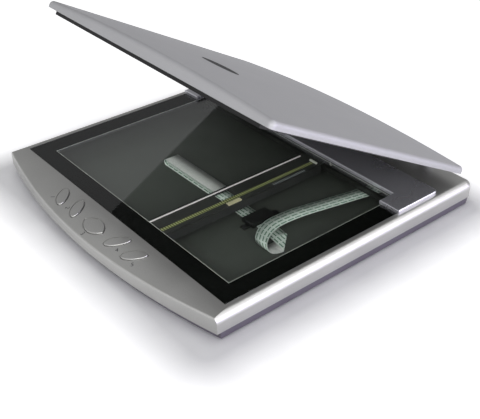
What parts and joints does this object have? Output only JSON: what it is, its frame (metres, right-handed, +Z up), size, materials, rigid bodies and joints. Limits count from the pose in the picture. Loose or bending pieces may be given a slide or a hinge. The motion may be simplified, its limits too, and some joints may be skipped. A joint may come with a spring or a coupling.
{
  "type": "flatbed document scanner",
  "caption": "Flatbed document scanner with a bowed button panel, a glass platen, a belt-driven scan carriage and a hinged cover on rising posts.",
  "frame": {"origin": "middle of the footprint, on the surface that the feet stand on", "axes": "+X to the user's right, +Y from the button panel to the hinges, +Z up; the cover is stored open by 28.5 degrees"},
  "size_m": [0.3602, 0.3552, 0.1847],
  "materials": {
    "housing": "silver-grey lacquer, satin",
    "bezel": "silver-grey lacquer, satin",
    "cover": "silver-grey lacquer, satin",
    "badge": "plain dark inlay",
    "casing": "dark violet-grey, fine grain",
    "button": "satin",
    "centre_button": "satin, finely ribbed",
    "foot": "matte",
    "screw": "zinc plated",
    "glass": "clear float glass, ground edge",
    "mask": "black print under glass",
    "tape": "double-sided foam tape",
    "reference_white": "matte white",
    "hinge_plastic": "dark grey acetal",
    "ground_steel": "ground",
    "works_plastic": "black, matte",
    "motor": "zinc plated can",
    "sheet_steel": "bright sheet",
    "belt": "toothed rubber, matte",
    "board": "green solder mask",
    "chip": "black moulding",
    "socket_metal": "tinned shell",
    "connector": "cream",
    "ferrite": "dark grey, matte",
    "ribbon": "pale film",
    "gear_plastic": "white acetal",
    "pinion": "bright",
    "light_guide": "frosted acrylic",
    "lens": "olive strip with rod lenses",
    "bearing": "natural acetal",
    "liner": "black, fine grain",
    "foam": "open-cell foam",
    "pad_vinyl": "black vinyl, fine grain"
  },
  "bodies": {
    "base": {"upper_housing": "housing", "rear_bezel": "bezel", "lower_casing": "casing", "rubber_feet": "foot", "housing_screws": "screw", "inner_screws": "screw", "platen_glass": "glass", "glass_mask": "mask", "glass_tape": "tape", "calibration_strip": "reference_white", "hinge_sockets": "hinge_plastic", "guide_rod": "ground_steel", "gear_axles": "ground_steel", "rod_clips": "works_plastic", "rear_beam": "works_plastic", "home_sensor": "works_plastic", "drive_motor": "motor", "motor_bracket": "sheet_steel", "idler_bracket": "sheet_steel", "tension_spring": "sheet_steel", "drive_belt": "belt", "main_board": "board", "button_board": "board", "board_chips": "chip", "tact_switches": "chip", "usb_socket": "socket_metal", "ferrite_block": "ferrite", "flat_cable": "ribbon", "panel_cable": "ribbon"},
    "carriage": {"carriage_frame": "works_plastic", "head_housing": "works_plastic", "head_ribbon": "ribbon", "head_connector": "connector", "light_guide": "light_guide", "lens_array": "lens", "sensor_board": "board", "head_springs": "sheet_steel", "glass_spacers": "bearing", "rod_bushings": "bearing", "slide_shoe": "bearing", "belt_clamp": "works_plastic"},
    "drive_pulley": {"drive_pulley": "gear_plastic"},
    "reduction_gear": {"reduction_gear": "gear_plastic"},
    "motor_pinion": {"motor_pinion": "pinion"},
    "idler_pulley": {"idler_pulley": "gear_plastic"},
    "button_1": {"button_1": "button"},
    "button_2": {"button_2": "button"},
    "button_3": {"button_3": "centre_button"},
    "button_4": {"button_4": "button"},
    "button_5": {"button_5": "button"},
    "hinge_posts": {"hinge_post_left": "hinge_plastic", "hinge_post_right": "hinge_plastic", "hinge_pins": "ground_steel"},
    "cover": {"cover_shell": "cover", "cover_liner": "liner", "pad_foam": "foam", "pad_sheet": "pad_vinyl", "cover_badge": "badge", "hinge_leaves": "hinge_plastic", "cover_screws": "screw"}
  },
  "joints": [
    {"name": "carriage_slide", "type": "slide", "parent": "base", "child": "carriage", "axis": [1, 0, 0], "range_m": [-0.197, 0.104], "deforming": ["flat_cable"]},
    {"name": "drive_pulley_spin", "type": "hinge", "parent": "base", "child": "drive_pulley", "pos_m": [-0.1635, 0.124, 0.012], "axis": [0, 0, 1], "continuous": true},
    {"name": "idler_pulley_spin", "type": "hinge", "parent": "base", "child": "idler_pulley", "pos_m": [0.166, 0.124, 0.012], "axis": [0, 0, 1], "continuous": true},
    {"name": "reduction_gear_spin", "type": "hinge", "parent": "base", "child": "reduction_gear", "pos_m": [-0.15647, 0.13618, 0.012], "axis": [0, 0, 1], "continuous": true},
    {"name": "motor_pinion_spin", "type": "hinge", "parent": "base", "child": "motor_pinion", "pos_m": [-0.14495, 0.14424, 0.012], "axis": [0, 0, 1], "continuous": true},
    {"name": "button_1_press", "type": "slide", "parent": "base", "child": "button_1", "axis": [0, 0, -1], "range_m": [0, 0.0008], "stiffness_N_per_m": 800, "springref_m": -0.0005},
    {"name": "button_2_press", "type": "slide", "parent": "base", "child": "button_2", "axis": [0, 0, -1], "range_m": [0, 0.0008], "stiffness_N_per_m": 800, "springref_m": -0.0005},
    {"name": "button_3_press", "type": "slide", "parent": "base", "child": "button_3", "axis": [0, 0, -1], "range_m": [0, 0.0008], "stiffness_N_per_m": 800, "springref_m": -0.0005},
    {"name": "button_4_press", "type": "slide", "parent": "base", "child": "button_4", "axis": [0, 0, -1], "range_m": [0, 0.0008], "stiffness_N_per_m": 800, "springref_m": -0.0005},
    {"name": "button_5_press", "type": "slide", "parent": "base", "child": "button_5", "axis": [0, 0, -1], "range_m": [0, 0.0008], "stiffness_N_per_m": 800, "springref_m": -0.0005},
    {"name": "hinge_lift", "type": "slide", "parent": "base", "child": "hinge_posts", "axis": [0, 0, 1], "range_m": [0, 0.01]},
    {"name": "cover_hinge", "type": "hinge", "parent": "hinge_posts", "child": "cover", "pos_m": [0, 0.1726, 0.0306], "axis": [-1, 0, 0], "range_deg": [-28.5, 56.5]}
  ],
  "couplings": [
    {"joint": "drive_pulley_spin", "follows": "carriage_slide", "rad_per_m": 209.44},
    {"joint": "idler_pulley_spin", "follows": "carriage_slide", "rad_per_m": 209.44},
    {"joint": "reduction_gear_spin", "follows": "carriage_slide", "rad_per_m": -628.32},
    {"joint": "motor_pinion_spin", "follows": "carriage_slide", "rad_per_m": 1885}
  ]
}
